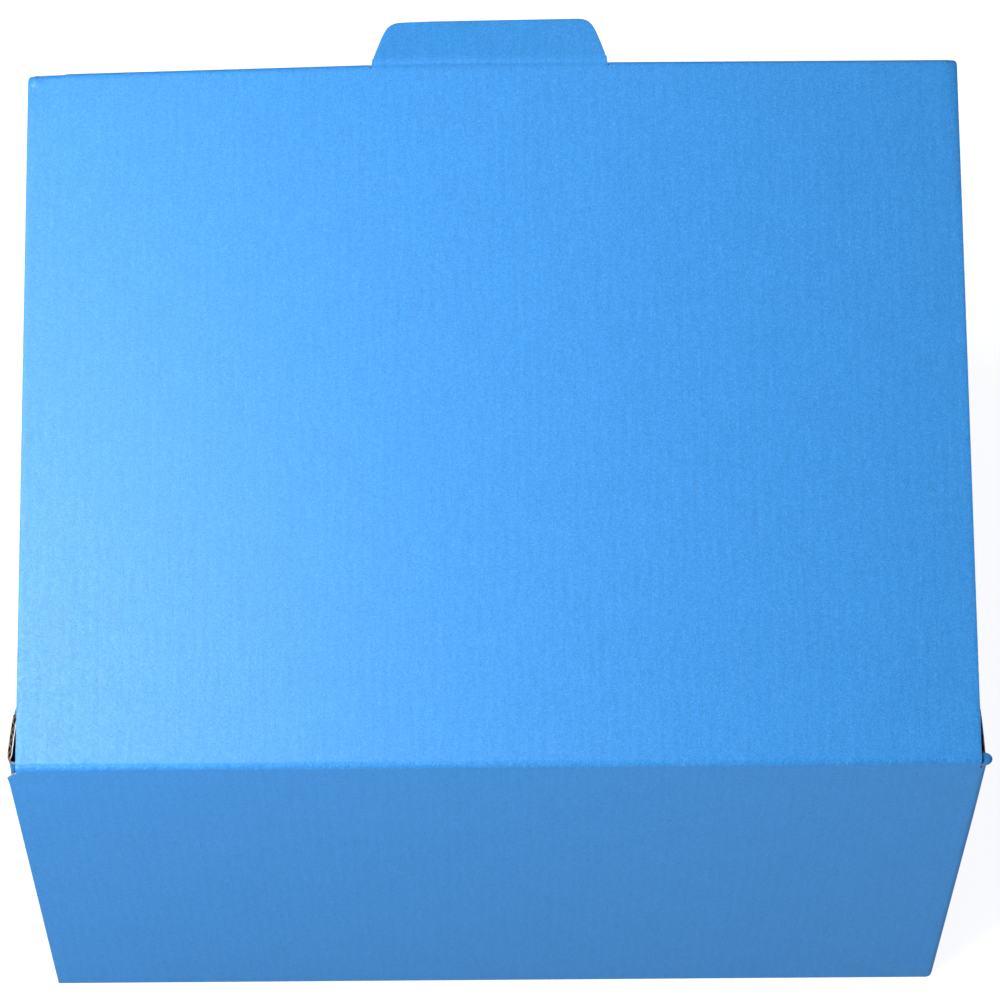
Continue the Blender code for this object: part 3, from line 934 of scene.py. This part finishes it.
FLOOR_SIZE = 12.0
FLOOR_GREY = 0.35
FLOOR_GLOW = 0.90
WORLD_STRENGTH = 0.12
floor_mesh = bpy.data.meshes.new("floor")
corner = FLOOR_SIZE / 2
floor_mesh.from_pydata(
    [(-corner, -corner, 0), (corner, -corner, 0), (corner, corner, 0), (-corner, corner, 0)],
    [], [(0, 1, 2, 3)],
)
floor = bpy.data.objects.new("floor", floor_mesh)
floor.location.z = -0.0005
bpy.context.scene.collection.objects.link(floor)
floor_material, _, floor_shader = new_material("pale_floor")
floor_shader.inputs["Base Color"].default_value = (FLOOR_GREY, FLOOR_GREY, FLOOR_GREY, 1)
floor_shader.inputs["Roughness"].default_value = 0.9
floor_shader.inputs["Specular IOR Level"].default_value = 0.0
floor_shader.inputs["Emission Color"].default_value = (1, 1, 1, 1)
floor_shader.inputs["Emission Strength"].default_value = FLOOR_GLOW
floor_mesh.materials.append(floor_material)
floor.visible_glossy = False      # its glow lights the carton but leaves no pale reflection in the walls

# A round backdrop that rises from the floor in a cove, so low views have no dark horizon. It gives
# the carton no light.
BACKDROP_RADIUS = 4.5
COVE_RADIUS = 1.0
BACKDROP_TOP = 5.0
COVE_STEPS = 8
TURN_STEPS = 64
cove = np.linspace(0, math.pi / 2, COVE_STEPS + 1)
profile = [(BACKDROP_RADIUS + COVE_RADIUS * math.sin(a), COVE_RADIUS * (1 - math.cos(a))) for a in cove]
profile.append((BACKDROP_RADIUS + COVE_RADIUS, BACKDROP_TOP))
backdrop_points = [
    (r * math.cos(2 * math.pi * k / TURN_STEPS), r * math.sin(2 * math.pi * k / TURN_STEPS), z)
    for k in range(TURN_STEPS) for r, z in profile
]
rings = len(profile)
backdrop_faces = [
    (k * rings + j, after * rings + j, after * rings + j + 1, k * rings + j + 1)
    for k, after in zip(range(TURN_STEPS), [*range(1, TURN_STEPS), 0]) for j in range(rings - 1)
]
backdrop_mesh = bpy.data.meshes.new("backdrop")
backdrop_mesh.from_pydata(backdrop_points, [], backdrop_faces)
backdrop_mesh.polygons.foreach_set("use_smooth", np.ones(len(backdrop_faces), bool))
backdrop_mesh.materials.append(floor_material)
backdrop = bpy.data.objects.new("backdrop", backdrop_mesh)
bpy.context.scene.collection.objects.link(backdrop)
backdrop.visible_glossy = False
backdrop.visible_diffuse = False
backdrop.visible_shadow = False

world = bpy.data.worlds.new("studio")
bpy.context.scene.world = world
world.use_nodes = True
background = world.node_tree.nodes["Background"]
background.inputs["Color"].default_value = (1, 1, 1, 1)
background.inputs["Strength"].default_value = WORLD_STRENGTH


def area_light(name, location, target, size, power, colour=(1, 1, 1)):
    data = bpy.data.lights.new(name, "AREA")
    data.shape = "RECTANGLE"
    data.size, data.size_y = size
    data.energy = power
    data.color = colour
    lamp = bpy.data.objects.new(name, data)
    bpy.context.scene.collection.objects.link(lamp)
    lamp.location = location
    lamp.rotation_euler = (Vector(target) - Vector(location)).to_track_quat("-Z", "Y").to_euler()
    lamp.visible_camera = False
    return lamp


# A group of small lamps close to the carton's left makes the sheen that fades to the right
LEFT_LAMP = (0.12, 0.22)
MIDDLE = (0, 0, 0.2)
area_light("front_left_softbox", (-0.50, -0.75, 0.55), MIDDLE, (0.3, 0.3), 1.3)
area_light("front_left_lamp", (-0.38, -0.45, 0.65), MIDDLE, (0.15, 0.25), 2.8)
area_light("left_lamp_near", (-0.28, 0.0, 0.80), (-0.10, -0.10, 0.2), LEFT_LAMP, 0.5)
area_light("left_lamp_far", (-0.28, 0.25, 0.80), (-0.10, 0.075, 0.2), LEFT_LAMP, 1.0)
area_light("left_lamp_low", (-0.22, 0.05, 0.65), MIDDLE, (0.1, 0.2), 1.0)
area_light("left_lamp_high", (-0.25, 0.10, 0.95), MIDDLE, (0.15, 0.25), 0.8)
area_light("back_softbox", (0, 1.0, 1.2), MIDDLE, (0.9, 0.5), 1.5)

AZIMUTH = math.radians(-0.81)
ELEVATION = math.radians(70.395)
ROLL = math.radians(0.3625)
DISTANCE = 1.7246
AIM = Vector((0.00097, Y_BACK + 0.07725, LID_HIGH.z))
camera_data = bpy.data.cameras.new("camera")
camera_data.sensor_width = 36.0
camera_data.lens = 224.03
camera_data.clip_end = 30.0
camera = bpy.data.objects.new("camera", camera_data)
bpy.context.scene.collection.objects.link(camera)
away = Vector((
    math.sin(AZIMUTH) * math.cos(ELEVATION), -math.cos(AZIMUTH) * math.cos(ELEVATION), math.sin(ELEVATION),
))
right = Vector((math.cos(AZIMUTH), math.sin(AZIMUTH), 0))
upward = away.cross(right)
turned_right = right * math.cos(ROLL) + upward * math.sin(ROLL)
turned_up = upward * math.cos(ROLL) - right * math.sin(ROLL)
turn = Matrix((turned_right, turned_up, away)).transposed().to_4x4()
camera.matrix_world = Matrix.Translation(AIM + away * DISTANCE) @ turn
bpy.context.scene.camera = camera
bpy.context.scene.view_settings.view_transform = "Standard"
